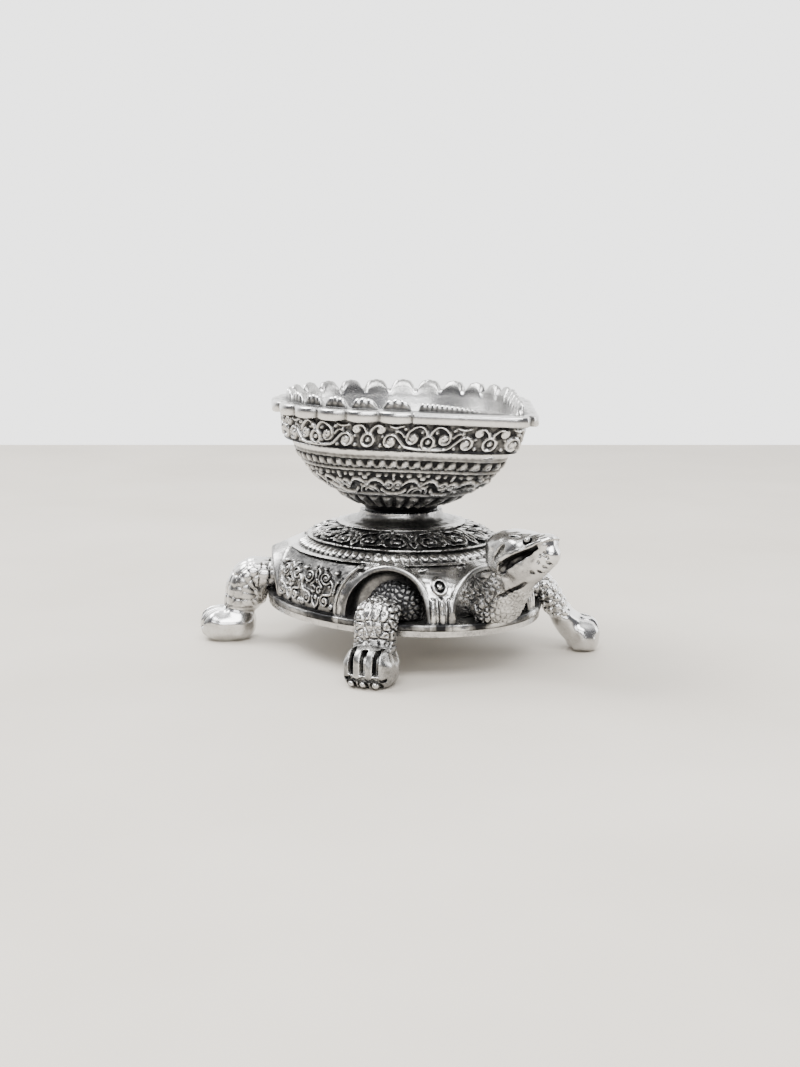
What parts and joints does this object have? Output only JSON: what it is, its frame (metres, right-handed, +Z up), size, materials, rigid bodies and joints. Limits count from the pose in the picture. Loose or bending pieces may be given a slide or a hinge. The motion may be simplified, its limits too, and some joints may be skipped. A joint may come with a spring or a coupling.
{
  "type": "turtle diya",
  "caption": "Small cast oil lamp: a leaf-shaped bowl with a scalloped rim and a spout for the wick, carried on the domed back of a standing turtle, oxidised silver finish",
  "frame": {"origin": "on the surface that the feet stand on, under the middle of the box around the whole object", "axes": "+X towards the turtle's head and the bowl's spout, +Y towards the turtle's left, +Z up"},
  "size_m": [0.102, 0.079, 0.0648],
  "materials": {
    "shell_metal": "satin",
    "plate_metal": "satin",
    "bowl_metal": "satin",
    "limb_metal": "satin",
    "fastener_steel": "satin"
  },
  "bodies": {
    "root": {"shell": "shell_metal", "belly_plate": "plate_metal", "diya_bowl": "bowl_metal", "head": "limb_metal", "tail": "limb_metal", "front_right_leg": "limb_metal", "front_left_leg": "limb_metal", "rear_right_leg": "limb_metal", "rear_left_leg": "limb_metal", "tie_screw": "fastener_steel", "washer": "fastener_steel"}
  },
  "joints": []
}
